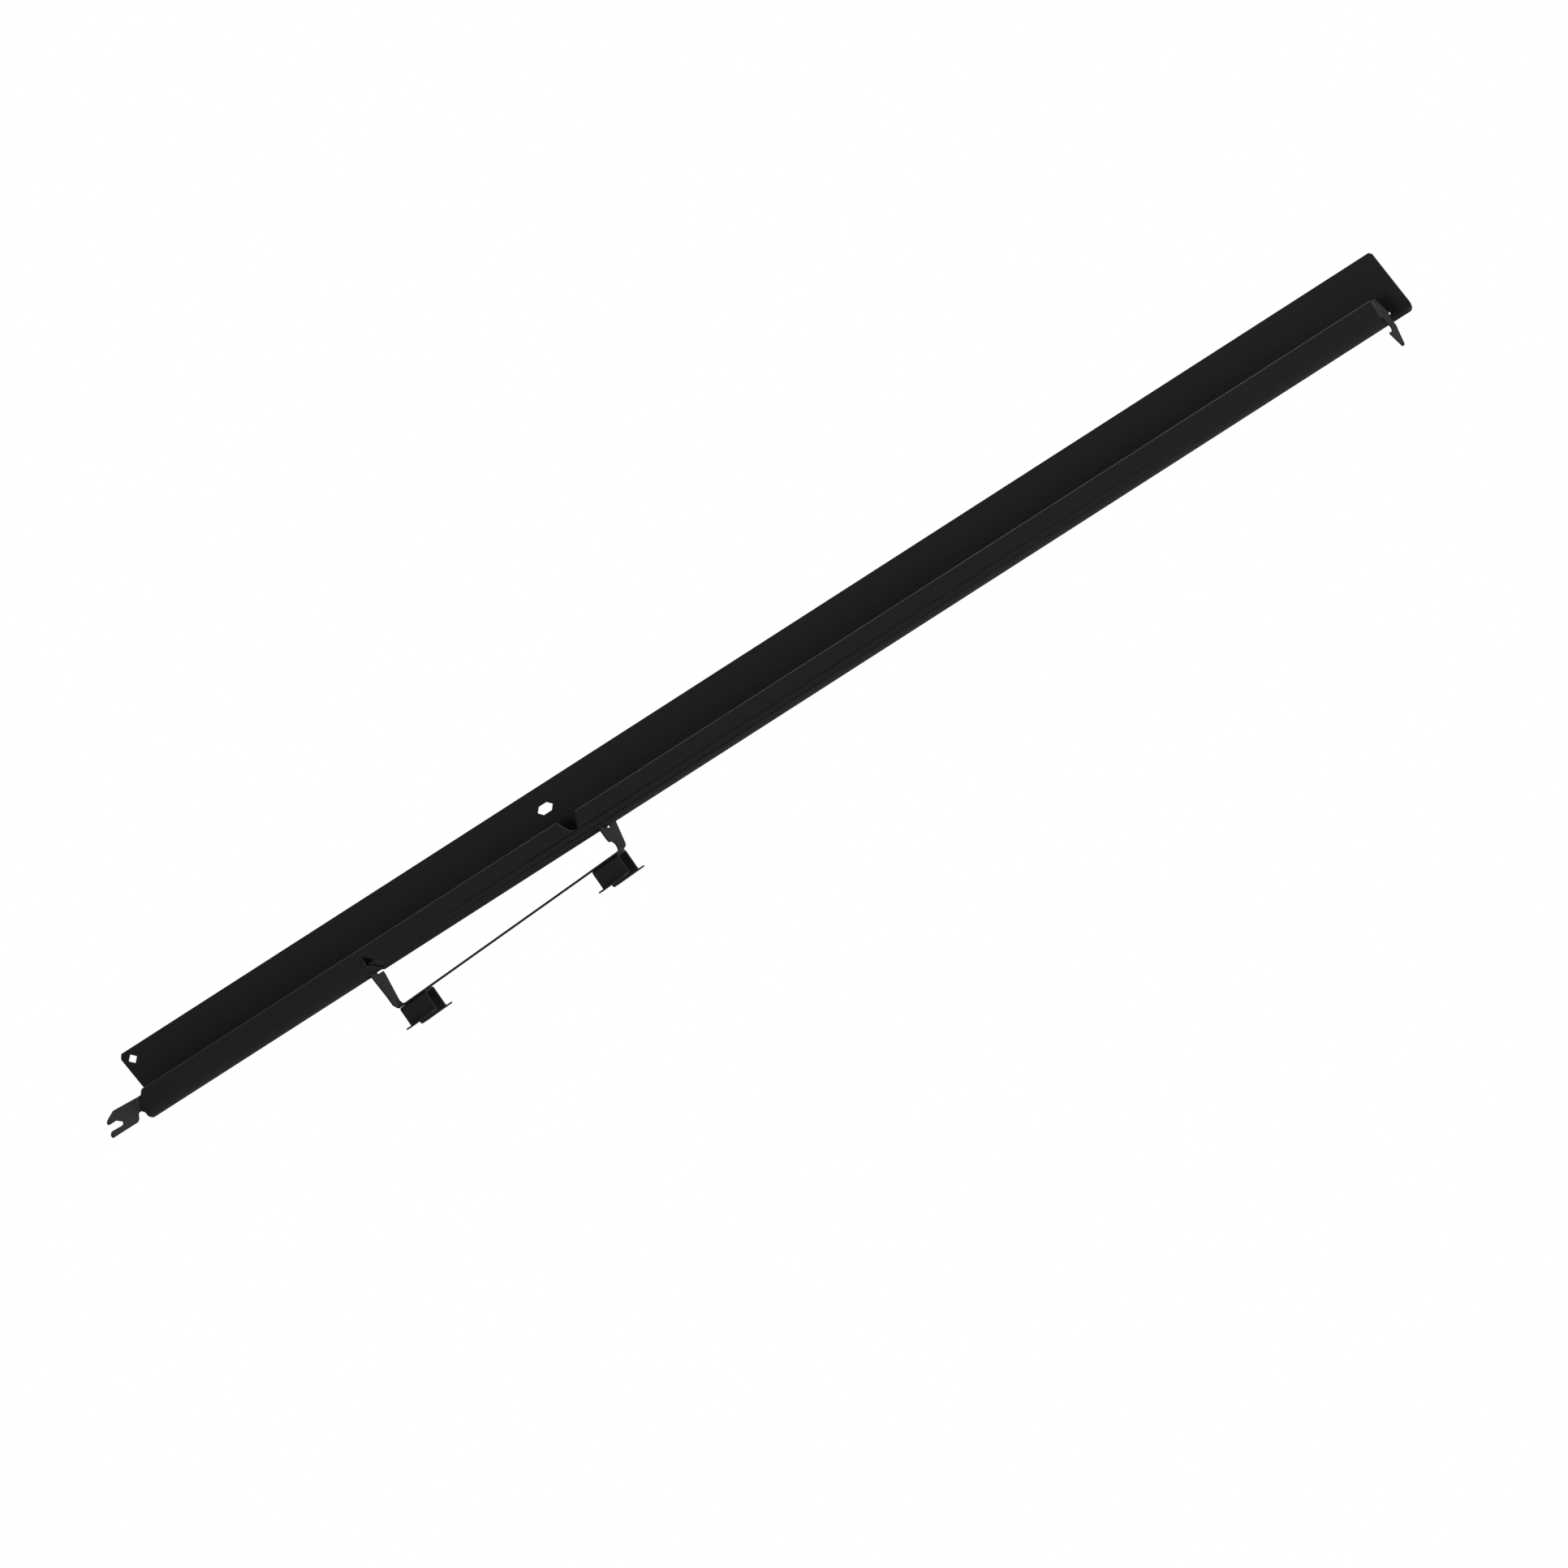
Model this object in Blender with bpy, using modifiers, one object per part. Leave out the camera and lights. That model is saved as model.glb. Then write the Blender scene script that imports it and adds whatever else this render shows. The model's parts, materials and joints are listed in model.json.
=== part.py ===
"""LED strip batten: a folded sheet-steel carrier with its LED channel lying in the trough.

Inside this file every length is in millimetres and is turned into metres by MM.
Rail coordinates: X along the batten from its left end, F forwards from the back of the web
(world -Y), Z up from the underside of the trough. The datum empty carries the rail, so that the
world origin is the middle of the web's back face.
"""

import math

import bmesh
import bpy
from mathutils import Matrix, Vector

MM = 0.001

# Rail: tall back web, round-bottomed trough and low front lip, folded from one sheet.
SHEET = 1.0
WEB_HEIGHT = 41.9
LIP_HEIGHT = 18.1
LIP_EDGE_ROUND = 0.8
RAIL_DEPTH = 20.0
TROUGH_RADIUS = 7.5
TROUGH_STEPS = 18
CURL_DEPTH = 7.2
LIP_RIGHT_END = 991.4
RAIL_STOCK = (-4.0, 1006.0)
DATUM = (500.0, 24.0)

# Holes in the web, given by their centre and half sizes.
HOLE_CENTRE = (5.6, 35.8)
HOLE_HALF_WIDTH = 3.5
HOLE_HALF_HEIGHT = 3.15
SLOT_CENTRE = (332.6, 28.6)
SLOT_HALF_LENGTH = 6.2
SLOT_HALF_HEIGHT = 2.8
RELIEF_HOLE_CENTRE = (987.6, 5.6)
RELIEF_HOLE_RADIUS = 0.75

# Fork lug at the left end, folded forwards along a leaning line, and hook at the right end.
FORK_FOOT = (0.8, 7.7)
FORK_LEAN = math.radians(31.2)
FORK_BEND = 1.0
FORK_ROOT = 3.0
HOOK_PLANE = (992.0, 993.0)
HOOK_BEND = 1.0
HOOK_ROOT = 1.5
# The hook's bend sits this far behind the lip's face, so the two faces never coincide.
BEND_INSET = 0.02

# Bridge under the rail, with a hat-section shoe at each end.
LEFT_LEG_FACE = 183.3
RIGHT_LEG_FACE = 367.0
BRIDGE_SHEET = 1.1
BRIDGE_BEND = 1.0
PLATE_REAR = -0.5
PLATE_NARROW = 12.8
PLATE_WIDE = 16.4
PLATE_TOP_LEFT = -22.9
PLATE_TOP_RIGHT = -15.3
SHOE_LENGTH = 20.7
SHOE_CENTRES = {"left_hat_shoe": 193.0, "right_hat_shoe": 352.2}
SHOE_HEIGHT = 13.1
SHOE_WALLS = (-0.5, 11.5)
SHOE_NEAR_FLANGE = 6.8
SHOE_FAR_FLANGE = 7.6
SHOE_FAR_DROP = 1.6
SEAT_GAP = 0.1
RIVET_SPACING = 10.0
RIVET_SHANK = 1.5
RIVET_HEAD = 2.7
RIVET_CLEARANCE = 0.1

# LED channel lying in the trough.
GAP = 0.3
STACK_GAP = 0.1
CHANNEL_X = (75.0, 925.0)
CHANNEL_F = (5.0, 15.0)
CHANNEL_Z = (2.9, 8.0)
CHANNEL_WALL = 1.0
TAPE_THICKNESS = 0.3
BOARD_THICKNESS = 0.5
BOARD_WIDTH = 7.2
LED_COUNT = 24
LED_PITCH = 1000.0 / 30.0
LED_SIZE = (5.0, 5.0, 1.6)
LEDS_PER_GROUP = 3
RESISTOR_SIZE = (3.2, 1.6, 0.6)
COVER_THICKNESS = 1.0
CAP_THICKNESS = 2.0
CLIP_POSITIONS = (130.0, 300.0, 560.0, 860.0)
CLIP_LENGTH = 12.0
CLIP_SHEET = 0.6
PAD_THICKNESS = 0.6
LEAD_RADIUS = 0.8
LEAD_SPACING = 3.6
CONNECTOR_X = (34.0, 50.0)
CONNECTOR_SECTION = (8.0, 4.6)
PIN_SIDE = 1.0

SIDE_VIEW = (math.radians(90), 0.0, math.radians(-90))
FRONT_VIEW = (math.radians(90), 0.0, 0.0)


# ---------------------------------------------------------------- scene and materials


def clear_scene():
    for obj in list(bpy.data.objects):
        bpy.data.objects.remove(obj, do_unlink=True)


def new_collection(name):
    collection = bpy.data.collections.new(name)
    bpy.context.scene.collection.children.link(collection)
    return collection


def make_material(name, colour, roughness, metallic):
    material = bpy.data.materials.new(name)
    material.use_nodes = True
    shader = material.node_tree.nodes["Principled BSDF"]
    shader.inputs["Base Color"].default_value = (*colour, 1.0)
    shader.inputs["Roughness"].default_value = roughness
    shader.inputs["Metallic"].default_value = metallic
    return material


clear_scene()
PARTS = new_collection("led_strip_batten")
CUTTERS = new_collection("cutters")
CUTTERS.hide_render = True

BLACK_COAT = ((0.012, 0.012, 0.011), 0.5, 0.0)
BLACK_ANODISE = ((0.02, 0.02, 0.022), 0.4, 1.0)
ZINC = ((0.03, 0.03, 0.03), 0.45, 1.0)
WHITE_BOARD = ((0.8, 0.8, 0.78), 0.4, 0.0)
LED_YELLOW = ((0.85, 0.7, 0.25), 0.3, 0.0)
RESISTOR_BLACK = ((0.02, 0.02, 0.02), 0.4, 0.0)
OPAL = ((0.75, 0.75, 0.73), 0.35, 0.0)
BLACK_PLASTIC = ((0.02, 0.02, 0.02), 0.5, 0.0)
SPRING_STEEL = ((0.35, 0.35, 0.34), 0.35, 1.0)
FOAM_TAPE = ((0.05, 0.05, 0.05), 0.8, 0.0)
RED_WIRE = ((0.5, 0.02, 0.02), 0.45, 0.0)
BLACK_WIRE = ((0.02, 0.02, 0.02), 0.45, 0.0)
BRASS = ((0.7, 0.5, 0.2), 0.3, 1.0)

DATUM_EMPTY = bpy.data.objects.new("rail_datum", None)
DATUM_EMPTY.location = (-DATUM[0] * MM, 0.0, -DATUM[1] * MM)
PARTS.objects.link(DATUM_EMPTY)


# ---------------------------------------------------------------- shape helpers


def place(obj, location, rotation):
    """Put the object on the rail: location is (X, F, Z) in millimetres."""
    x, forward, z = location
    obj.location = (x * MM, -forward * MM, z * MM)
    obj.rotation_euler = rotation
    obj.parent = DATUM_EMPTY


def add_mesh_object(name, mesh, location=(0, 0, 0), rotation=(0, 0, 0), cutter=False, look=None):
    obj = bpy.data.objects.new(name, mesh)
    (CUTTERS if cutter else PARTS).objects.link(obj)
    place(obj, location, rotation)
    if cutter:
        obj.hide_render = True
        obj.display_type = "WIRE"
    if look:
        obj.data.materials.append(make_material(name + "_finish", *look))
    return obj


def outline_mesh(name, outline, thickness):
    """A flat outline as a filled 2D curve, extruded both ways and turned into a closed mesh."""
    curve = bpy.data.curves.new(name, "CURVE")
    curve.dimensions = "2D"
    curve.fill_mode = "BOTH"
    curve.extrude = thickness * MM / 2
    spline = curve.splines.new("POLY")
    spline.points.add(len(outline) - 1)
    for point, (u, v) in zip(spline.points, outline):
        point.co = (u * MM, v * MM, 0.0, 1.0)
    spline.use_cyclic_u = True
    holder = bpy.data.objects.new(name + "_curve", curve)
    bpy.context.scene.collection.objects.link(holder)
    graph = bpy.context.evaluated_depsgraph_get()
    mesh = bpy.data.meshes.new_from_object(holder.evaluated_get(graph))
    bpy.data.objects.remove(holder, do_unlink=True)
    shape = bmesh.new()
    shape.from_mesh(mesh)
    bmesh.ops.remove_doubles(shape, verts=shape.verts, dist=1e-6)
    bmesh.ops.recalc_face_normals(shape, faces=shape.faces)
    shape.to_mesh(mesh)
    shape.free()
    mesh.shade_smooth()
    mesh.set_sharp_from_angle(angle=math.radians(35))
    return mesh


def side_shape(name, outline, x_range, **options):
    """An outline in (F, Z), extruded along X."""
    middle = (x_range[0] + x_range[1]) / 2
    mesh = outline_mesh(name, outline, x_range[1] - x_range[0])
    return add_mesh_object(name, mesh, (middle, 0, 0), SIDE_VIEW, **options)


def front_shape(name, outline, f_range, **options):
    """An outline in (X, Z), extruded along F."""
    middle = (f_range[0] + f_range[1]) / 2
    mesh = outline_mesh(name, outline, f_range[1] - f_range[0])
    return add_mesh_object(name, mesh, (0, middle, 0), FRONT_VIEW, **options)


def plan_shape(name, outline, z_range, **options):
    """An outline in (X, F), extruded along Z."""
    flipped = [(x, -forward) for x, forward in outline]
    middle = (z_range[0] + z_range[1]) / 2
    mesh = outline_mesh(name, flipped, z_range[1] - z_range[0])
    return add_mesh_object(name, mesh, (0, 0, middle), **options)


def box(name, x_range, f_range, z_range, **options):
    shape = bmesh.new()
    bmesh.ops.create_cube(shape, size=1.0)
    size = [(high - low) * MM for low, high in (x_range, f_range, z_range)]
    bmesh.ops.scale(shape, vec=size, verts=shape.verts)
    mesh = bpy.data.meshes.new(name)
    shape.to_mesh(mesh)
    shape.free()
    centre = [(low + high) / 2 for low, high in (x_range, f_range, z_range)]
    return add_mesh_object(name, mesh, centre, **options)


def boolean(obj, other, operation="DIFFERENCE"):
    modifier = obj.modifiers.new(operation.lower() + "_" + other.name, "BOOLEAN")
    modifier.object = other
    modifier.operation = operation
    modifier.solver = "EXACT"


def arc(centre, radius, start, end, steps):
    """Points on a circle from angle start to angle end, in degrees."""
    points = []
    for step in range(steps + 1):
        angle = math.radians(start + (end - start) * step / steps)
        points.append((centre[0] + radius * math.cos(angle), centre[1] + radius * math.sin(angle)))
    return points


def bent_sheet(path, bend_radius, thickness, steps=6):
    """Outline of a folded sheet whose mid-line follows path, with round bends."""
    corners = [Vector(point) for point in path]
    left, right = [], []

    def add_pair(point, normal):
        left.append(tuple(point + normal * thickness / 2))
        right.append(tuple(point - normal * thickness / 2))

    first = (corners[1] - corners[0]).normalized()
    add_pair(corners[0], Vector((-first.y, first.x)))
    for before, corner, after in zip(corners, corners[1:], corners[2:]):
        arriving = (corner - before).normalized()
        leaving = (after - corner).normalized()
        turn = math.atan2(arriving.cross(leaving), arriving.dot(leaving))
        setback = bend_radius * math.tan(abs(turn) / 2)
        start = corner - arriving * setback
        normal = Vector((-arriving.y, arriving.x))
        towards = math.copysign(1, turn)
        centre = start + normal * towards * bend_radius
        for step in range(steps + 1):
            angle = turn * step / steps
            spoke = Matrix.Rotation(angle, 2) @ normal
            add_pair(centre - spoke * towards * bend_radius, spoke)
    last = (corners[-1] - corners[-2]).normalized()
    add_pair(corners[-1], Vector((-last.y, last.x)))
    return left + right[::-1]


# ---------------------------------------------------------------- folded rail


def rail_profile():
    middle = SHEET / 2
    path = [
        (middle, WEB_HEIGHT),
        (middle, middle),
        (RAIL_DEPTH - middle, middle),
        (RAIL_DEPTH - middle, LIP_HEIGHT),
    ]
    outline = bent_sheet(path, TROUGH_RADIUS - middle, SHEET, TROUGH_STEPS)
    lip_corner = len(outline) // 2
    centre = (RAIL_DEPTH - LIP_EDGE_ROUND, LIP_HEIGHT - LIP_EDGE_ROUND)
    outline[lip_corner : lip_corner + 1] = arc(centre, LIP_EDGE_ROUND, 90, 0, 6)
    return outline


def diamond(centre, half_width, half_height):
    x, z = centre
    return [(x - half_width, z), (x, z - half_height), (x + half_width, z), (x, z + half_height)]


def pointed_slot(centre, half_length, half_height):
    x, z = centre
    flat = half_length - half_height
    return [
        (x - half_length, z),
        (x - flat, z - half_height),
        (x + flat, z - half_height),
        (x + half_length, z),
        (x + flat, z + half_height),
        (x - flat, z + half_height),
    ]


def make_fork():
    """Lug folded forwards from the lip's left end, with an open slot between two tines."""
    middle = RAIL_DEPTH - SHEET / 2
    root = FORK_BEND + FORK_ROOT
    path = [(root, middle), (-SHEET / 2, middle), (-SHEET / 2, 70.0)]
    flat = [(x, -forward) for x, forward in bent_sheet(path, FORK_BEND + SHEET / 2, SHEET)]
    mesh = outline_mesh("fork_sheet", flat, 40.0)
    foot = (FORK_FOOT[0], 0.0, FORK_FOOT[1])
    fork = add_mesh_object("fork_sheet", mesh, foot, (0.0, FORK_LEAN, 0.0), cutter=True)
    tines = [
        (18.0, 15.3),
        (52.2, 16.3),
        (60.2, 13.4),
        (61.3, 12.3),
        (60.8, 11.2),
        (58.6, 10.3),
        (48.4, 10.3),
        (40.1, 7.8),
        (39.8, 6.5),
        (42.8, 6.1),
        (56.0, 6.4),
        (57.5, 5.2),
        (56.8, 3.8),
        (54.6, 2.6),
        (21.6, 2.6),
    ]
    throat = [(20.4, 3.6), (20.3, 6.9), (19.0, 7.3), (18.0, 7.3)]
    outline = side_shape("fork_outline", tines + throat, (-15.0, 15.0), cutter=True)
    boolean(fork, outline, "INTERSECT")
    return fork


def make_hook():
    """Flange bent back from the lip's right end, running down below the trough to a barb."""
    middle = RAIL_DEPTH - SHEET / 2 - BEND_INSET
    plane = (HOOK_PLANE[0] + HOOK_PLANE[1]) / 2
    start = HOOK_PLANE[0] - HOOK_BEND - HOOK_ROOT
    path = [(start, middle), (plane, middle), (plane, 16.0)]
    bend = bent_sheet(path, HOOK_BEND + SHEET / 2, SHEET)
    hook = plan_shape("hook_bend", bend, (6.0, 17.6), cutter=True)
    rear_edge = [
        (18.3, 17.4),
        (16.2, 16.6),
        (15.6, 15.2),
        (12.7, 10.5),
        (11.7, 8.1),
        (10.9, 6.3),
        (11.9, 4.7),
        (12.3, 2.0),
        (11.3, -2.5),
        (12.4, -5.5),
        (14.7, -13.6),
    ]
    barb = [
        (15.5, -14.6),
        (17.1, -14.6),
        (17.9, -13.4),
        (22.1, -4.9),
        (21.9, -3.7),
        (18.6, -4.0),
        (17.7, -3.3),
        (17.0, -1.4),
    ]
    front_edge = [(17.8, 0.5), (18.7, 2.4), (19.3, 4.5), (18.9, 17.4)]
    blade = side_shape("hook_blade", rear_edge + barb + front_edge, HOOK_PLANE, cutter=True)
    boolean(hook, blade, "UNION")
    return hook


def cut_rail_left_end(rail):
    web_end = [(-20, 60), (15.0, 60), (-1.3, 39.2), (4.5, -5), (-20, -5)]
    boolean(rail, front_shape("left_web_end", web_end, (-5, 30), cutter=True))
    lip_end = [
        (-20, 30),
        (21.6, 30),
        (7.3, 14.6),
        (6.4, 14.6),
        (2.1, 7.1),
        (3.8, 5.7),
        (4.0, 4.4),
        (3.4, 2.2),
        (4.4, -5),
        (-20, -5),
    ]
    boolean(rail, front_shape("left_lip_end", lip_end, (12, 30), cutter=True))


def cut_rail_right_end(rail):
    web_end = [(1030, 60), (978.2, 60), (998.8, 40.2), (1002.5, 7.4), (1003.7, 1.6), (1003.7, -3)]
    web_end += [(1030, -3)]
    boolean(rail, front_shape("right_web_end", web_end, (-5, 30), cutter=True))
    beyond_lip = (LIP_RIGHT_END, RAIL_STOCK[1] + 10)
    boolean(rail, box("right_trough_end", beyond_lip, (CURL_DEPTH, 30), (-5, 30), cutter=True))
    relief = arc(RELIEF_HOLE_CENTRE, RELIEF_HOLE_RADIUS, 0, 330, 11)
    boolean(rail, front_shape("relief_hole", relief, (-3, 5), cutter=True))


def cut_rail_openings(rail):
    hole = diamond(HOLE_CENTRE, HOLE_HALF_WIDTH, HOLE_HALF_HEIGHT)
    boolean(rail, front_shape("web_hole", hole, (-3, 4), cutter=True))
    slot = pointed_slot(SLOT_CENTRE, SLOT_HALF_LENGTH, SLOT_HALF_HEIGHT)
    boolean(rail, front_shape("web_slot", slot, (-3, 4), cutter=True))
    centre = SHOE_CENTRES["right_hat_shoe"]
    notch = [(-8.9, 19.5), (-3.2, 10.0), (-1.5, 9.0), (2.0, 8.2), (2.8, 8.9), (8.1, 19.5)]
    outline = [(centre + x, z) for x, z in notch]
    boolean(rail, front_shape("lip_notch", outline, (16, 24), cutter=True))
    window = [
        (-1.6, 13.2),
        (2.2, 13.2),
        (11.8, 5.1),
        (11.4, 2.5),
        (7.0, 1.5),
        (5.1, 4.4),
        (2.7, 6.3),
        (-1.6, 7.7),
    ]
    outline = [(LEFT_LEG_FACE + x, z) for x, z in window]
    boolean(rail, front_shape("leg_window", outline, (15.6, 25), cutter=True))


def cut_leg_slots(rail):
    clear = BRIDGE_SHEET + GAP
    left = (LEFT_LEG_FACE - clear, LEFT_LEG_FACE + GAP)
    boolean(rail, box("left_leg_slot", left, (11.2, 18.9), (-3, 4.2), cutter=True))
    floor_hole = (LEFT_LEG_FACE - 4.7, LEFT_LEG_FACE + 6.7)
    boolean(rail, box("left_floor_opening", floor_hole, (4.0, 16.4), (-3, 1.3), cutter=True))
    right = (RIGHT_LEG_FACE - clear, RIGHT_LEG_FACE + GAP)
    boolean(rail, box("right_leg_front_slot", right, (10.3, 19.0), (-3, 4.6), cutter=True))
    boolean(rail, box("right_leg_back_slot", right, (1.0, 6.6), (-3, 4.6), cutter=True))


def make_rail():
    rail = side_shape("folded_rail", rail_profile(), RAIL_STOCK, look=BLACK_COAT)
    cut_rail_left_end(rail)
    cut_rail_right_end(rail)
    boolean(rail, make_fork(), "UNION")
    boolean(rail, make_hook(), "UNION")
    cut_rail_openings(rail)
    cut_leg_slots(rail)


# ---------------------------------------------------------------- bridge and hat shoes

SLOPE = math.atan2(PLATE_TOP_RIGHT - PLATE_TOP_LEFT, RIGHT_LEG_FACE - LEFT_LEG_FACE)


def plate_top(x):
    return PLATE_TOP_LEFT + (x - LEFT_LEG_FACE) * math.tan(SLOPE)


def left_leg_outline():
    tab = [
        (18.8, 0.0),
        (18.8, 2.6),
        (16.8, 3.3),
        (17.8, 5.5),
        (18.4, 8.1),
        (20.5, 8.5),
        (19.0, 12.7),
        (17.2, 12.9),
        (16.4, 11.6),
        (16.4, 2.4),
        (11.5, 1.0),
        (11.5, -0.2),
    ]
    rear = [(3.9, -0.2), (4.0, -3.0), (6.4, -17.7), (6.7, -20.0), (5.7, -21.9), (4.2, -22.7)]
    fold = [(4.2, -30.0), (PLATE_NARROW, -30.0), (13.3, -22.2), (15.3, -20.6), (16.0, -14.1)]
    return tab + rear + fold


def right_leg_outline():
    scoop = arc((16.1, -12.2), 3.85, 105, 235, 8)
    front = [(18.8, -0.2), (18.3, -5.1), (17.8, -7.3), (16.9, -8.4)]
    fold = [(16.0, -15.5), (PLATE_WIDE, -16.0), (PLATE_WIDE, -30.0), (8.0, -30.0), (8.0, -16.4)]
    rear = [(4.3, -15.5), (2.9, -14.1), (-1.5, -0.2), (1.3, 2.6), (3.0, 4.2)]
    slot = [(4.4, 2.4), (6.3, 2.4), (6.3, -0.6), (6.9, -1.0), (10.0, -1.0), (10.6, -0.6), (10.6, 2.4)]
    return front + scoop + fold + rear + slot + [(15.6, 2.4), (16.9, 4.2), (17.9, 2.6)]


def plate_outline():
    """Plan of the sloping plate, in (X, F), overlapping each leg's fold."""
    left = LEFT_LEG_FACE + BRIDGE_BEND
    right = RIGHT_LEG_FACE - BRIDGE_SHEET - BRIDGE_BEND
    return [
        (left, PLATE_REAR),
        (right - 2.5, PLATE_REAR),
        (right + 0.3, 8.0),
        (right + 0.3, PLATE_WIDE),
        (right - 7.0, PLATE_WIDE),
        (right - 30.0, PLATE_NARROW),
        (left, PLATE_NARROW),
    ]


def make_bridge():
    """One folded strip: two tapered legs whose tabs stand in the trough, and a sloping plate."""
    middle = BRIDGE_SHEET / 2
    left, right = LEFT_LEG_FACE - middle, RIGHT_LEG_FACE - middle
    path = [
        (left, 14.0),
        (left, plate_top(left) - middle),
        (right, plate_top(right) - middle),
        (right, 6.0),
    ]
    strip = bent_sheet(path, BRIDGE_BEND + middle, BRIDGE_SHEET)
    bridge = front_shape("bridge_bracket", strip, (-3.0, 22.0), look=BLACK_COAT)
    plate = plan_shape("plate_mask", plate_outline(), (-28.0, -12.0), cutter=True)
    left_span = (LEFT_LEG_FACE - 5.0, LEFT_LEG_FACE + 2.0)
    boolean(plate, side_shape("left_leg_mask", left_leg_outline(), left_span, cutter=True), "UNION")
    right_span = (RIGHT_LEG_FACE - 3.0, RIGHT_LEG_FACE + 3.0)
    boolean(plate, side_shape("right_leg_mask", right_leg_outline(), right_span, cutter=True), "UNION")
    boolean(bridge, plate, "INTERSECT")
    return bridge


def rivet_positions(centre):
    return [centre - RIVET_SPACING / 2, centre + RIVET_SPACING / 2]


def shoe_frame(x, depth):
    """The point at depth below the plate's top at x, measured square to the sloping plate."""
    return (x + depth * math.sin(SLOPE), plate_top(x) - depth * math.cos(SLOPE))


def make_shoe(name, centre):
    """Hat section under the plate, open at both ends, with out-turned flanges."""
    middle = SHEET / 2
    far, near = SHOE_WALLS
    foot = -SHOE_HEIGHT + middle
    path = [
        (near + SHOE_NEAR_FLANGE, foot),
        (near - middle, foot),
        (near - middle, -middle),
        (far + middle, -middle),
        (far + middle, foot - SHOE_FAR_DROP),
        (far - SHOE_FAR_FLANGE, foot - SHOE_FAR_DROP),
    ]
    mesh = outline_mesh(name, bent_sheet(path, 1.1, SHEET, 3), SHOE_LENGTH)
    x, z = shoe_frame(centre, BRIDGE_SHEET + SEAT_GAP)
    rotation = Matrix.Rotation(-SLOPE, 3, "Y") @ Matrix.Rotation(math.radians(-90), 3, "Z")
    rotation = rotation @ Matrix.Rotation(math.radians(90), 3, "X")
    return add_mesh_object(name, mesh, (x, 0, z), rotation.to_euler(), look=BLACK_COAT)


def turned(name, profile, location, rotation, **options):
    """A profile of (radius, height) points, top to bottom, turned about its own Z axis."""
    mesh = bpy.data.meshes.new(name)
    points = [(radius * MM, 0.0, height * MM) for radius, height in profile]
    mesh.from_pydata(points, [(i, i + 1) for i in range(len(points) - 1)], [])
    obj = add_mesh_object(name, mesh, location, rotation, **options)
    screw = obj.modifiers.new("turn", "SCREW")
    screw.steps = 16
    screw.render_steps = 16
    screw.use_merge_vertices = True
    screw.merge_threshold = 0.00001
    return obj


def rivet_profile(extra):
    """Countersunk head flush with the plate, shank, and a formed head inside the shoe."""
    grip = BRIDGE_SHEET + SEAT_GAP + SHEET
    top = -0.05 + (1.0 if extra else 0.0)
    profile = [(0, top), (RIVET_HEAD + extra, top), (RIVET_HEAD + extra, -0.1)]
    profile += [(RIVET_SHANK + extra, -0.1 - (RIVET_HEAD - RIVET_SHANK) * 0.6)]
    if extra:
        return profile + [(RIVET_SHANK + extra, -grip - 1.0), (0, -grip - 1.0)]
    under = -grip - RIVET_CLEARANCE
    formed_head = [(2.5, under), (2.2, under - 0.8), (1.2, under - 1.2), (0, under - 1.2)]
    return profile + [(RIVET_SHANK, under)] + formed_head


def make_rivets(bridge, shoes):
    middle = sum(SHOE_WALLS) / 2
    number = 1
    for name, centre in SHOE_CENTRES.items():
        for x in rivet_positions(centre):
            place_at = (x, middle, plate_top(x))
            turned(f"shoe_rivet_{number}", rivet_profile(0), place_at, (0, -SLOPE, 0), look=ZINC)
            wider = rivet_profile(RIVET_CLEARANCE)
            bore = turned(f"rivet_bore_{number}", wider, place_at, (0, -SLOPE, 0), cutter=True)
            boolean(bridge, bore)
            boolean(shoes[name], bore)
            number += 1


# ---------------------------------------------------------------- LED channel in the trough


def channel_middle():
    return (CHANNEL_F[0] + CHANNEL_F[1]) / 2


def u_section(f_range, z_range, wall):
    return [
        (f_range[0], z_range[0]),
        (f_range[1], z_range[0]),
        (f_range[1], z_range[1]),
        (f_range[1] - wall, z_range[1]),
        (f_range[1] - wall, z_range[0] + wall),
        (f_range[0] + wall, z_range[0] + wall),
        (f_range[0] + wall, z_range[1]),
        (f_range[0], z_range[1]),
    ]


def make_channel():
    section = u_section(CHANNEL_F, CHANNEL_Z, CHANNEL_WALL)
    side_shape("led_channel", section, CHANNEL_X, look=BLACK_ANODISE)


def around(centre, size):
    return (centre - size / 2, centre + size / 2)


def board_levels():
    """Bottom of the tape, the board and the components, each resting a gap above the last."""
    tape = CHANNEL_Z[0] + CHANNEL_WALL + STACK_GAP
    board = tape + TAPE_THICKNESS + STACK_GAP
    parts = board + BOARD_THICKNESS + STACK_GAP
    return tape, board, parts


def make_led_board():
    tape, board, _ = board_levels()
    span = (CHANNEL_X[0] + 4, CHANNEL_X[1] - 4)
    width = around(channel_middle(), BOARD_WIDTH)
    box("board_tape", span, width, (tape, tape + TAPE_THICKNESS), look=FOAM_TAPE)
    box("led_board", span, width, (board, board + BOARD_THICKNESS), look=WHITE_BOARD)


def make_components():
    level = board_levels()[2]
    first = sum(CHANNEL_X) / 2 - (LED_COUNT - 1) * LED_PITCH / 2
    length, width, height = LED_SIZE
    for number in range(LED_COUNT):
        x = first + number * LED_PITCH
        where = (around(x, length), around(channel_middle(), width), (level, level + height))
        box(f"led_package_{number + 1:02d}", *where, look=LED_YELLOW)
        if number % LEDS_PER_GROUP == 1:
            group = number // LEDS_PER_GROUP + 1
            spot = (around(x + LED_PITCH / 2, RESISTOR_SIZE[0]), around(channel_middle(), RESISTOR_SIZE[1]))
            tall = (level, level + RESISTOR_SIZE[2])
            box(f"strip_resistor_{group}", *spot, tall, look=RESISTOR_BLACK)


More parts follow.
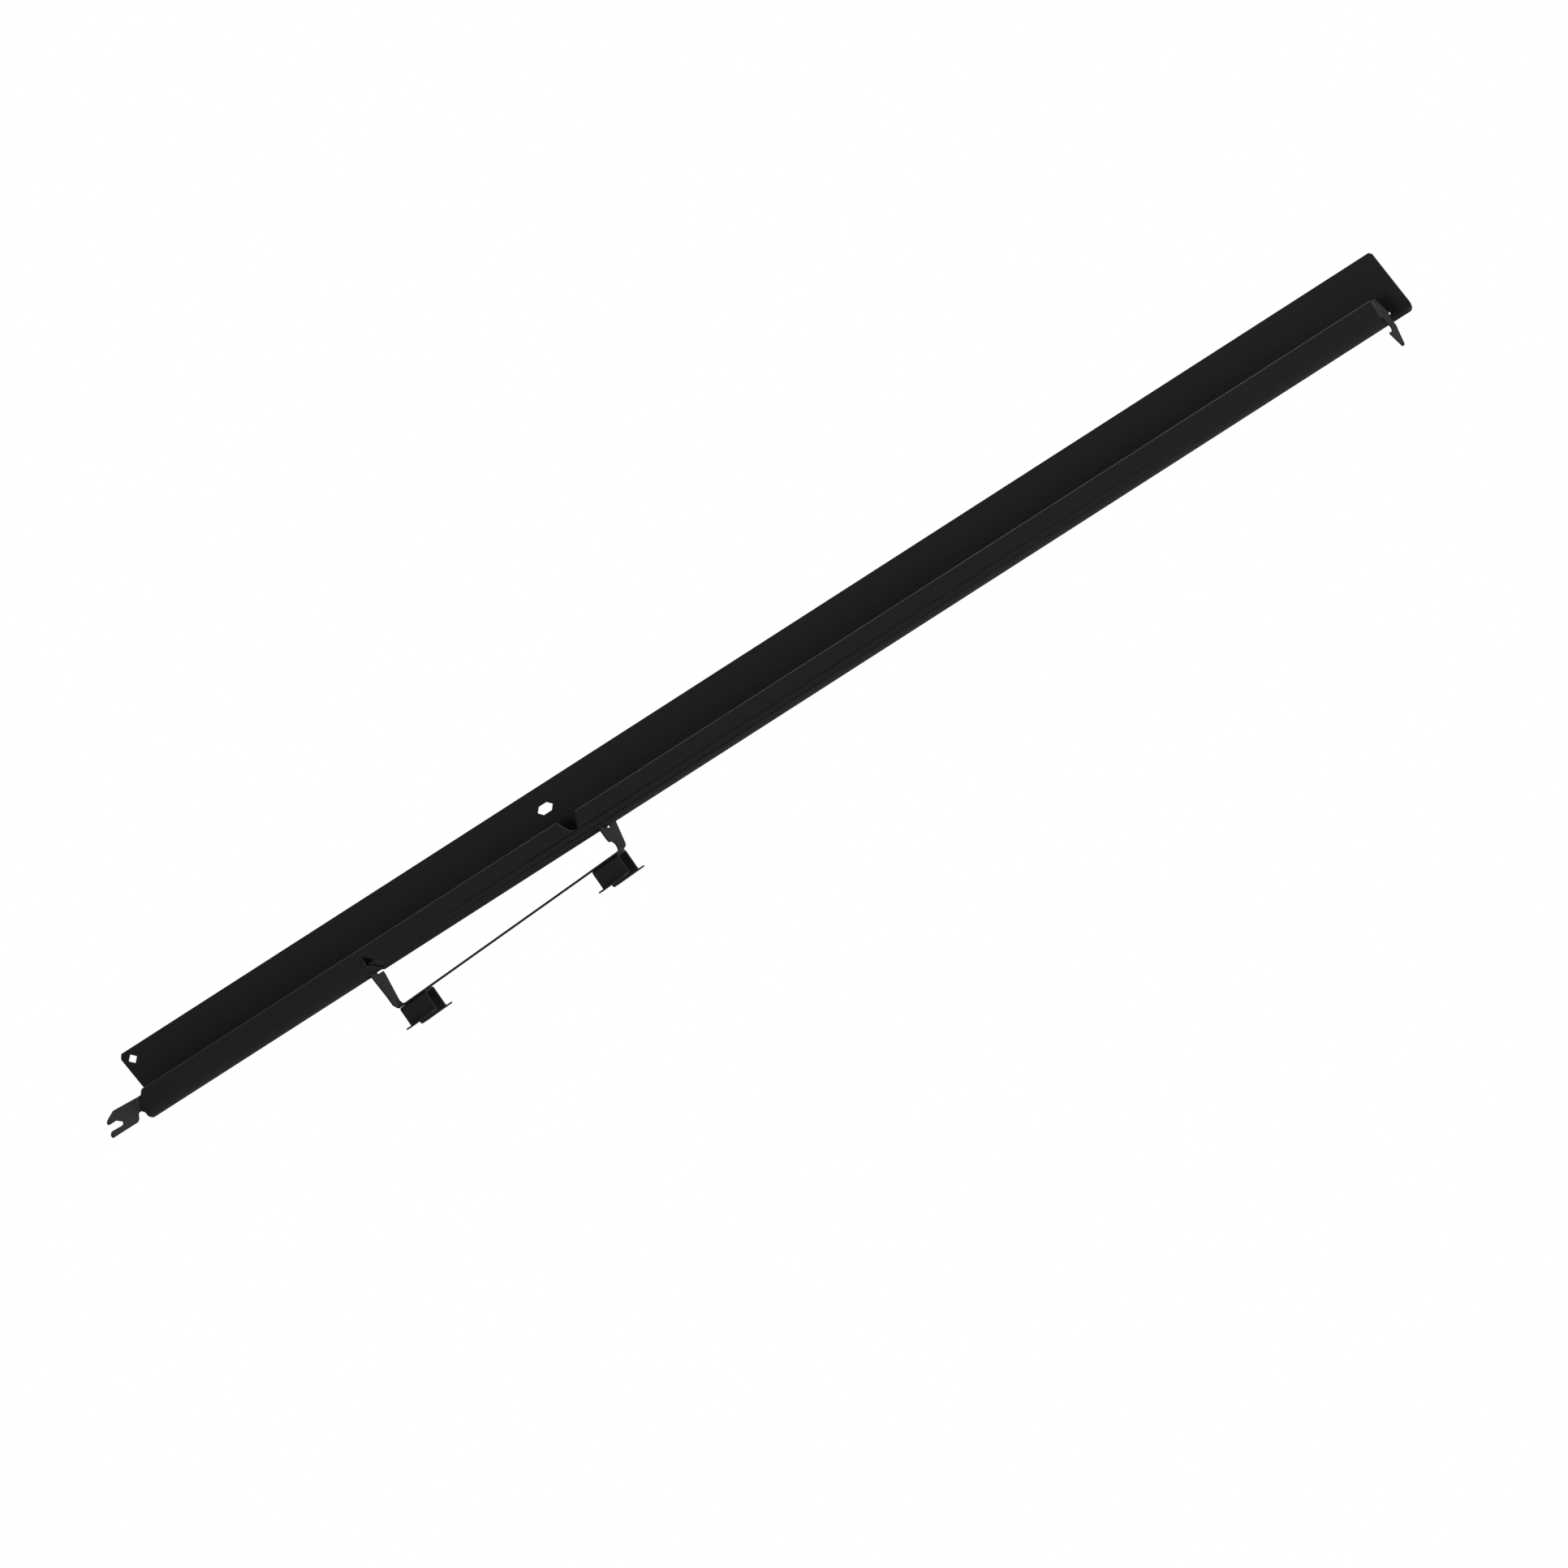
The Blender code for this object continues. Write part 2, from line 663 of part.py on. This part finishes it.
def make_cover():
    """Diffuser strip that slides in between the channel's walls, just below their tops."""
    low = board_levels()[2] + LED_SIZE[2] + 2 * STACK_GAP
    inner = (CHANNEL_F[0] + CHANNEL_WALL + STACK_GAP, CHANNEL_F[1] - CHANNEL_WALL - STACK_GAP)
    crown = low + COVER_THICKNESS
    section = [
        (inner[0], low),
        (inner[1], low),
        (inner[1], low + COVER_THICKNESS / 2),
        (inner[1] - 1.2, crown),
        (inner[0] + 1.2, crown),
        (inner[0], low + COVER_THICKNESS / 2),
    ]
    side_shape("diffuser_cover", section, CHANNEL_X, look=OPAL)


def make_end_caps():
    height = CHANNEL_Z
    left = (CHANNEL_X[0] - GAP - CAP_THICKNESS, CHANNEL_X[0] - GAP)
    right = (CHANNEL_X[1] + GAP, CHANNEL_X[1] + GAP + CAP_THICKNESS)
    cable_cap = box("cable_end_cap", left, CHANNEL_F, height, look=BLACK_PLASTIC)
    box("blank_end_cap", right, CHANNEL_F, height, look=BLACK_PLASTIC)
    z = lead_level()
    passage = box("lead_passage", (left[0] - 2, left[1] + 2), (7, 13), (z - 1.6, z + 1.6), cutter=True)
    boolean(cable_cap, passage)


def make_clips():
    """Spring saddles that hold the channel, each on a foam pad stuck to the trough's floor."""
    width = (CHANNEL_F[0] - GAP - CLIP_SHEET, CHANNEL_F[1] + GAP + CLIP_SHEET)
    height = (CHANNEL_Z[0] - STACK_GAP - CLIP_SHEET, CHANNEL_Z[1] - 1.5)
    pad_top = height[0] - STACK_GAP
    for number, x in enumerate(CLIP_POSITIONS, 1):
        section = u_section(width, height, CLIP_SHEET)
        side_shape(f"channel_clip_{number}", section, around(x, CLIP_LENGTH), look=SPRING_STEEL)
        where = (around(x, CLIP_LENGTH), around(channel_middle(), 4.4), (pad_top - PAD_THICKNESS, pad_top))
        box(f"clip_pad_{number}", *where, look=FOAM_TAPE)


def lead_level():
    return board_levels()[2] + LEAD_RADIUS


def make_leads():
    """Two short leads from the board's end, through the cap, to the connector."""
    for name, side, look in (("positive_lead", 1, RED_WIRE), ("negative_lead", -1, BLACK_WIRE)):
        curve = bpy.data.curves.new(name, "CURVE")
        curve.dimensions = "3D"
        curve.bevel_depth = LEAD_RADIUS * MM
        curve.bevel_resolution = 2
        curve.use_fill_caps = True
        spline = curve.splines.new("POLY")
        start = CONNECTOR_X[1] + GAP
        end = CHANNEL_X[0] + 10.0
        steps = 12
        spline.points.add(steps)
        for step, point in enumerate(spline.points):
            share = step / steps
            swell = 0.5 - 0.5 * math.cos(math.pi * min(1.0, share * 2.2))
            z = connector_middle() + (lead_level() - connector_middle()) * swell
            forward = channel_middle() + side * LEAD_SPACING / 2
            point.co = ((start + (end - start) * share) * MM, -forward * MM, z * MM, 1.0)
        obj = bpy.data.objects.new(name, curve)
        PARTS.objects.link(obj)
        obj.parent = DATUM_EMPTY
        curve.materials.append(make_material(name + "_finish", *look))


def connector_middle():
    return 1.0 + GAP + CONNECTOR_SECTION[1] / 2


def make_connector():
    """Two-way plug housing lying on the trough's floor, with its open mouth to the left."""
    width, height = CONNECTOR_SECTION
    middle = channel_middle()
    level = connector_middle()
    sides, levels = around(middle, width * 0.8), around(level, height)
    housing = box("connector_housing", CONNECTOR_X, sides, levels, look=BLACK_PLASTIC)
    mouth = (CONNECTOR_X[0] - 2, CONNECTOR_X[0] + 9)
    boolean(housing, box("connector_mouth", mouth, around(middle, 5.0), around(level, 3.0), cutter=True))
    for name, side in (("positive_pin", 1), ("negative_pin", -1)):
        spot = around(middle + side * 1.25, PIN_SIDE)
        pin = (CONNECTOR_X[0] + 2, CONNECTOR_X[0] + 9 - GAP)
        box(name, pin, spot, around(level, PIN_SIDE), look=BRASS)


# ---------------------------------------------------------------- the whole batten

make_rail()
BRIDGE = make_bridge()
SHOES = {name: make_shoe(name, centre) for name, centre in SHOE_CENTRES.items()}
make_rivets(BRIDGE, SHOES)
make_channel()
make_led_board()
make_components()
make_cover()
make_end_caps()
make_clips()
make_leads()
make_connector()
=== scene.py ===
import json
import math

import bpy
from mathutils import Matrix, Vector


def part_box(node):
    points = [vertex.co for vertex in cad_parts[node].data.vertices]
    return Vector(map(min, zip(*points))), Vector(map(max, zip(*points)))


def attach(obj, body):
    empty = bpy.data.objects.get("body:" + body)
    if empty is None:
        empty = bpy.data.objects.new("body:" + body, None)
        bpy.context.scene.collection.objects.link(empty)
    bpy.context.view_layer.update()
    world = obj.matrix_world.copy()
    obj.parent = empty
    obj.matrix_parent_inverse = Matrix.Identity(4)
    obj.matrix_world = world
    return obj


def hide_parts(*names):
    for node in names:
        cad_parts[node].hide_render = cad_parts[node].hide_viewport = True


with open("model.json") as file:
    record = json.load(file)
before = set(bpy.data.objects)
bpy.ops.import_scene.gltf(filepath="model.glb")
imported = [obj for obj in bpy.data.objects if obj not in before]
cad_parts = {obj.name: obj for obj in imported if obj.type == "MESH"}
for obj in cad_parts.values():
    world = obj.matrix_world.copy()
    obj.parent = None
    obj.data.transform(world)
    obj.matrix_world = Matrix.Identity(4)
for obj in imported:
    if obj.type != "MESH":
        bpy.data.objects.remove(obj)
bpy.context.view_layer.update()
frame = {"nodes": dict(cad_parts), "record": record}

MM = 0.001

# View: the batten seen level, from in front and to its right, with the camera rolled.
VIEW_AZIMUTH = math.radians(29.55)
VIEW_ROLL = math.radians(32.65)
# Width of the picture at the batten, in metres. The lens is so long that the view is all but
# parallel, and the camera still stands near enough for the clip range.
FRAME_WIDTH = 0.9177
LENS = 1500.0
SENSOR = 36.0
CLIP_RANGE = (1.0, 100.0)
# The point of the web's plane at the middle of the picture, left of and below the world origin.
AIM = Vector((-0.0233, 0.0, -0.0588))

# The floor lies below the picture's lower edge.
FLOOR_DROP = 1.05
FLOOR_SIZE = 30.0
ROOM_STRENGTH = 0.40
# The room's wall behind and to the right is darker, so faces that look right keep an even tone.
# It fades in over these cosines of the angle to the wall's middle.
DIM_WALL = (0.5, 0.866, 0.0)
DIM_RANGE = (0.1, 0.8)
DIM_STRENGTH = 0.28

# Lamps: direction from the batten, distance, width and height in metres, and power in watts. The
# side lamp lights the fork, the legs and the hook, the front lamp the web, the lip and the shoes,
# and the top lamp the upper edges.
LAMPS = {
    "side_light": ((1.0, -0.16, -0.08), 7.4, (1.6, 1.6), 2000.0),
    "front_light": ((0.0, -1.0, 0.08), 6.0, (1.2, 1.2), 155.0),
    "top_light": ((0.0, 0.25, 1.0), 1.0, (1.4, 0.5), 36.0),
}

# Noise in every finish: its detail, the part of its range that runs from dark to light, and the
# range of the sum of grain and patches that runs from smooth to rough.
GRAIN_DETAIL = 3.0
PATCH_DETAIL = 2.0
NOISE_MIDDLE = (0.3, 0.7)
NOISE_SUM = (0.6, 1.4)
# Lighter edges, rubbed wear and a painted edge highlight together: how far in from an edge they
# reach, in millimetres, and the cosines between the face and the rounded edge where the lighter
# colour starts and is full.
EDGE_REACH = 0.35
EDGE_SAMPLES = 4
EDGE_COSINES = (0.98, 0.75)

COAT_COLOUR = (0.0032, 0.0032, 0.0029)
# The coat's lighter edge colour: rubbed wear and a painted edge highlight together.
COAT_WEAR_AND_HIGHLIGHT = (0.012, 0.012, 0.0115)
COAT_ROUGHNESS = 0.68
COAT_SHINE = 0.125
OPAL_TRANSMISSION = 0.3
# Brushed or drawn along X: noise cells are this much longer that way.
DRAWN = (0.03, 1.0, 1.0)

FLAT_ANGLE = math.radians(1)

# LED package, in millimetres: a white case whose first four bands are its sides, chamfer, top and
# well wall, and a dome given by its inset from the well's rim and its rise from the well's floor.
LED_RIM = 0.25
LED_CHAMFER = 0.15
LED_WELL_DEPTH = 0.45
LED_WELL_SLOPE = 0.35
LED_DOME = ((0.7, 0.12), (1.3, 0.22))
LED_CROWN_REACH = 0.2
LED_CROWN_RISE = 0.28
LED_CASE_BANDS = 4
LED_SEGMENTS = 32


def cad(name):
    return bpy.data.objects[name]


# ---------------------------------------------------------------- camera, room and lights


def make_camera():
    """A level, rolled camera that sees FRAME_WIDTH of the web's plane."""
    toward = Vector((math.sin(VIEW_AZIMUTH), -math.cos(VIEW_AZIMUTH), 0.0))
    level = Vector((math.cos(VIEW_AZIMUTH), math.sin(VIEW_AZIMUTH), 0.0))
    upright = toward.cross(level)
    right = level * math.cos(VIEW_ROLL) - upright * math.sin(VIEW_ROLL)
    up = level * math.sin(VIEW_ROLL) + upright * math.cos(VIEW_ROLL)
    data = bpy.data.cameras.new("view")
    data.lens = LENS
    data.sensor_width = SENSOR
    data.clip_start, data.clip_end = CLIP_RANGE
    camera = bpy.data.objects.new("view", data)
    bpy.context.scene.collection.objects.link(camera)
    distance = FRAME_WIDTH / SENSOR * LENS
    turn = Matrix((right, up, toward)).transposed().to_4x4()
    camera.matrix_world = Matrix.Translation(AIM + toward * distance) @ turn
    bpy.context.scene.camera = camera


def make_world():
    """White to the camera, and a soft even grey room to everything else."""
    world = bpy.data.worlds.new("studio")
    bpy.context.scene.world = world
    world.use_nodes = True
    nodes = world.node_tree.nodes
    links = world.node_tree.links
    nodes.clear()
    output = nodes.new("ShaderNodeOutputWorld")
    mix = nodes.new("ShaderNodeMixShader")
    path = nodes.new("ShaderNodeLightPath")
    room = nodes.new("ShaderNodeBackground")
    room.inputs["Color"].default_value = (1, 1, 1, 1)
    place = nodes.new("ShaderNodeTexCoord")
    dot = nodes.new("ShaderNodeVectorMath")
    dot.operation = "DOT_PRODUCT"
    dot.inputs[1].default_value = DIM_WALL
    fade = nodes.new("ShaderNodeMapRange")
    fade.interpolation_type = "SMOOTHSTEP"
    fade.inputs["From Min"].default_value = DIM_RANGE[0]
    fade.inputs["From Max"].default_value = DIM_RANGE[1]
    fade.inputs["To Min"].default_value = ROOM_STRENGTH
    fade.inputs["To Max"].default_value = DIM_STRENGTH
    links.new(place.outputs["Generated"], dot.inputs[0])
    links.new(dot.outputs["Value"], fade.inputs["Value"])
    links.new(fade.outputs[0], room.inputs["Strength"])
    white = nodes.new("ShaderNodeBackground")
    white.inputs["Color"].default_value = (1, 1, 1, 1)
    links.new(path.outputs["Is Camera Ray"], mix.inputs[0])
    links.new(room.outputs[0], mix.inputs[1])
    links.new(white.outputs[0], mix.inputs[2])
    links.new(mix.outputs[0], output.inputs[0])


def soft_light(name, direction, distance, size, power):
    """A lamp of that width and height that faces the middle of the batten."""
    data = bpy.data.lights.new(name, "AREA")
    data.shape = "RECTANGLE"
    data.size, data.size_y = size
    data.energy = power
    light = bpy.data.objects.new(name, data)
    bpy.context.scene.collection.objects.link(light)
    away = Vector(direction).normalized()
    light.location = away * distance
    light.rotation_euler = away.to_track_quat("Z", "Y").to_euler()
    light.visible_camera = False


def make_floor():
    """Plain pale floor under the batten."""
    bpy.ops.mesh.primitive_plane_add(size=FLOOR_SIZE, location=(0, 0, -FLOOR_DROP))
    floor = bpy.context.object
    floor.name = "studio_floor"
    floor.data.materials.append(finish("pale_floor", (0.8, 0.8, 0.79), 0.7, speck=0.03, grain=40))


# ---------------------------------------------------------------- materials


def finish(name, colour, roughness, metallic=0.0, speck=0.1, grain=400.0, bump=0.0, spread=0.08,
           stretch=(1.0, 1.0, 1.0), wear_and_highlight=None, wear_and_highlight_share=0.5, patch=12.0):
    """Principled surface whose colour, roughness and height vary with grain and with patches.

    speck is the share by which the colour varies and spread the amount by which the roughness
    does. grain and patch are noise cells per metre, stretch scales the grain's space, and bump is
    the grain's height in millimetres. The edge colour, if one is given, is a painted edge
    highlight and rubbed wear together, and shows on rounded and cut edges by the share given with
    it.
    """
    material = bpy.data.materials.new(name)
    material.use_nodes = True
    tree = material.node_tree
    shader = tree.nodes["Principled BSDF"]
    shader.inputs["Metallic"].default_value = metallic

    place = tree.nodes.new("ShaderNodeTexCoord")
    scale = tree.nodes.new("ShaderNodeMapping")
    scale.inputs["Scale"].default_value = stretch
    tree.links.new(place.outputs["Object"], scale.inputs["Vector"])

    fine = noise(tree, scale.outputs[0], grain, GRAIN_DETAIL)
    broad = noise(tree, place.outputs["Object"], patch, PATCH_DETAIL)

    light = [min(1.0, c * (1 + speck)) for c in colour]
    dark = [c * (1 - speck) for c in colour]
    tint = blend(tree, broad, dark, light)
    rub = blend(tree, fine, [c * (1 - speck / 2) for c in colour], light)
    base = mix_colours(tree, 0.5, tint, rub)
    # Painted edge highlight and rubbed wear: a lighter colour on rounded and cut edges.
    if wear_and_highlight:
        base = mix_colours(tree, wear_and_highlight_mask(tree, fine, wear_and_highlight_share), base, wear_and_highlight)
    tree.links.new(base, shader.inputs["Base Color"])

    add = tree.nodes.new("ShaderNodeMath")
    add.operation = "ADD"
    tree.links.new(fine, add.inputs[0])
    tree.links.new(broad, add.inputs[1])
    rough = tree.nodes.new("ShaderNodeMapRange")
    rough.inputs["From Min"].default_value = NOISE_SUM[0]
    rough.inputs["From Max"].default_value = NOISE_SUM[1]
    rough.inputs["To Min"].default_value = roughness - spread
    rough.inputs["To Max"].default_value = roughness + spread
    tree.links.new(add.outputs[0], rough.inputs["Value"])
    tree.links.new(rough.outputs[0], shader.inputs["Roughness"])

    if bump:
        relief = tree.nodes.new("ShaderNodeBump")
        relief.inputs["Strength"].default_value = 1.0
        relief.inputs["Distance"].default_value = bump * MM
        tree.links.new(fine, relief.inputs["Height"])
        tree.links.new(relief.outputs[0], shader.inputs["Normal"])
    return material


def noise(tree, vector, scale, detail):
    node = tree.nodes.new("ShaderNodeTexNoise")
    node.inputs["Scale"].default_value = scale
    node.inputs["Detail"].default_value = detail
    tree.links.new(vector, node.inputs["Vector"])
    return node.outputs["Fac"]


def blend(tree, factor, low, high):
    """Colour that runs from low to high over the middle of the noise's range."""
    ramp = tree.nodes.new("ShaderNodeValToRGB")
    for stop, position, colour in zip(ramp.color_ramp.elements, NOISE_MIDDLE, (low, high)):
        stop.position = position
        stop.color = (*colour, 1)
    tree.links.new(factor, ramp.inputs["Fac"])
    return ramp.outputs["Color"]


def mix_colours(tree, factor, first, second):
    node = tree.nodes.new("ShaderNodeMix")
    node.data_type = "RGBA"
    if isinstance(factor, float):
        node.inputs["Factor"].default_value = factor
    else:
        tree.links.new(factor, node.inputs["Factor"])
    tree.links.new(first, node.inputs["A"])
    if isinstance(second, tuple):
        node.inputs["B"].default_value = (*second, 1)
    else:
        tree.links.new(second, node.inputs["B"])
    return node.outputs["Result"]


def wear_and_highlight_mask(tree, grain, share):
    """Mask of the painted edge highlight and rubbed wear: up to share on rounded or cut edges,
    broken up by the grain, and 0 on flat faces.
    """
    rounded = tree.nodes.new("ShaderNodeBevel")
    rounded.samples = EDGE_SAMPLES
    rounded.inputs["Radius"].default_value = EDGE_REACH * MM
    face = tree.nodes.new("ShaderNodeNewGeometry")
    dot = tree.nodes.new("ShaderNodeVectorMath")
    dot.operation = "DOT_PRODUCT"
    tree.links.new(rounded.outputs[0], dot.inputs[0])
    tree.links.new(face.outputs["Normal"], dot.inputs[1])
    reach = tree.nodes.new("ShaderNodeMapRange")
    reach.inputs["From Min"].default_value = EDGE_COSINES[0]
    reach.inputs["From Max"].default_value = EDGE_COSINES[1]
    reach.inputs["To Max"].default_value = share
    tree.links.new(dot.outputs["Value"], reach.inputs["Value"])
    broken = tree.nodes.new("ShaderNodeMath")
    broken.operation = "MULTIPLY"
    tree.links.new(reach.outputs[0], broken.inputs[0])
    tree.links.new(grain, broken.inputs[1])
    return broken.outputs[0]


def coat_steel(name):
    """Near-black satin powder coat, with little shine, a shade lighter at its edges: rubbed wear
    and a painted edge highlight together.
    """
    material = finish(name, COAT_COLOUR, COAT_ROUGHNESS, speck=0.14, spread=0.07, grain=900.0,
                      bump=0.012, wear_and_highlight=COAT_WEAR_AND_HIGHLIGHT)
    shader = material.node_tree.nodes["Principled BSDF"]
    shader.inputs["Specular IOR Level"].default_value = COAT_SHINE
    return material


def opal(name):
    """Milky plastic that lets some light and the shapes under it show through."""
    material = finish(name, (0.75, 0.75, 0.73), 0.35, speck=0.03, grain=300.0, bump=0.004)
    shader = material.node_tree.nodes["Principled BSDF"]
    shader.inputs["Transmission Weight"].default_value = OPAL_TRANSMISSION
    return material


def make_materials():
    """One finish for each material slot of the record."""
    return {
        "black_coat": coat_steel("black_coat"),
        "black_anodise": finish("black_anodise", (0.03, 0.03, 0.032), 0.38, 1.0, speck=0.2,
                                grain=2500.0, bump=0.004, stretch=DRAWN, wear_and_highlight=(0.2, 0.2, 0.2)),
        "zinc_rivet": finish("zinc_rivet", (0.05, 0.05, 0.05), 0.45, 1.0, speck=0.2,
                             grain=1500.0, bump=0.01, wear_and_highlight=(0.15, 0.15, 0.15)),
        "board_white": finish("board_white", (0.8, 0.8, 0.78), 0.42, speck=0.04, grain=900.0,
                              bump=0.006),
        "led_lens": finish("led_lens", (0.85, 0.7, 0.25), 0.3, speck=0.08, grain=2500.0,
                           bump=0.01, spread=0.05),
        "resistor_body": finish("resistor_body", (0.02, 0.02, 0.02), 0.4, speck=0.2,
                                grain=4000.0, bump=0.008, wear_and_highlight=(0.25, 0.25, 0.24)),
        "opal_cover": opal("opal_cover"),
        "black_plastic": finish("black_plastic", (0.02, 0.02, 0.02), 0.55, speck=0.15,
                                grain=2000.0, bump=0.02, wear_and_highlight=(0.05, 0.05, 0.05)),
        "spring_steel": finish("spring_steel", (0.35, 0.35, 0.34), 0.35, 1.0, speck=0.12,
                               grain=3000.0, bump=0.004, stretch=DRAWN),
        "foam_tape": finish("foam_tape", (0.05, 0.05, 0.05), 0.85, speck=0.3, grain=2200.0,
                            bump=0.08),
        "red_wire": finish("red_wire", (0.5, 0.02, 0.02), 0.45, speck=0.1, grain=700.0,
                           bump=0.01),
        "black_wire": finish("black_wire", (0.02, 0.02, 0.02), 0.45, speck=0.2, grain=700.0,
                             bump=0.01),
        "brass_pin": finish("brass_pin", (0.7, 0.5, 0.2), 0.3, 1.0, speck=0.1, grain=2000.0,
                            bump=0.004),
    }


def dress(finishes):
    """Each CAD node gets the finish of its material slot."""
    for part in frame["record"]["subparts"]:
        obj = cad(part["node"])
        obj.data.materials.clear()
        obj.data.materials.append(finishes[part["material_slot"]])


# ---------------------------------------------------------------- shape refinements


def refine(obj):
    """Planar dissolve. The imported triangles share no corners, so all it does is drop slivers."""
    flat = obj.modifiers.new("join_flats", "DECIMATE")
    flat.decimate_type = "DISSOLVE"
    flat.angle_limit = FLAT_ANGLE


# ---------------------------------------------------------------- LED packages


def ring(reach, height, roundness):
    """Points at that reach and height: a square at roundness 0 and a circle at 1."""
    points = []
    for step in range(LED_SEGMENTS):
        angle = 2 * math.pi * step / LED_SEGMENTS
        x, y = math.cos(angle), math.sin(angle)
        square = 1 / max(abs(x), abs(y))
        out = reach * (roundness + (1 - roundness) * square)
        points.append((x * out, y * out, height))
    return points


def led_mesh(width, height):
    """White package with a chamfered top and a round well that holds a low phosphor dome."""
    half, top = width / 2, height / 2
    rim = half - LED_RIM
    well = top - LED_WELL_DEPTH
    rings = [
        ring(half, -top, 0),
        ring(half, top - LED_CHAMFER, 0),
        ring(half - LED_CHAMFER, top, 0),
        ring(rim, top, 1),
        ring(rim - LED_WELL_SLOPE, well, 1),
        *(ring(rim - inset, well + rise, 1) for inset, rise in LED_DOME),
        ring(LED_CROWN_REACH, well + LED_CROWN_RISE, 1),
    ]
    points = [(x * MM, y * MM, z * MM) for level in rings for x, y, z in level]
    faces = [tuple(reversed(range(LED_SEGMENTS)))]
    for level in range(len(rings) - 1):
        low = level * LED_SEGMENTS
        high = low + LED_SEGMENTS
        for step in range(LED_SEGMENTS):
            after = (step + 1) % LED_SEGMENTS
            faces.append((low + step, low + after, high + after, high + step))
    last = (len(rings) - 1) * LED_SEGMENTS
    faces.append(tuple(range(last, last + LED_SEGMENTS)))
    mesh = bpy.data.meshes.new("led_package")
    mesh.from_pydata(points, [], faces)
    lens_start = 1 + LED_CASE_BANDS * LED_SEGMENTS
    for number, face in enumerate(mesh.polygons):
        face.material_index = 1 if number >= lens_start else 0
    return mesh


def make_leds(finishes):
    """One detailed package, with its well facing up, in the place of each plain one."""
    names = [name for name in frame["nodes"] if name.startswith("led_package")]
    low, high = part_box(names[0])
    size = [(b - a) / MM for a, b in zip(low, high)]
    mesh = led_mesh(size[0], size[2])
    mesh.materials.append(finishes["board_white"])
    mesh.materials.append(finishes["led_lens"])
    for name in names:
        low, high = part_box(name)
        led = bpy.data.objects.new(name.replace("package", "lens_package"), mesh)
        led.location = [(a + b) / 2 for a, b in zip(low, high)]
        bpy.context.scene.collection.objects.link(led)
        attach(led, "root")
        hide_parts(name)


# ---------------------------------------------------------------- the scene

make_camera()
make_world()
make_floor()
for lamp_name, lamp in LAMPS.items():
    soft_light(lamp_name, *lamp)

FINISHES = make_materials()
dress(FINISHES)
for node in frame["nodes"]:
    refine(cad(node))
make_leds(FINISHES)

bpy.context.scene.view_settings.view_transform = "Standard"
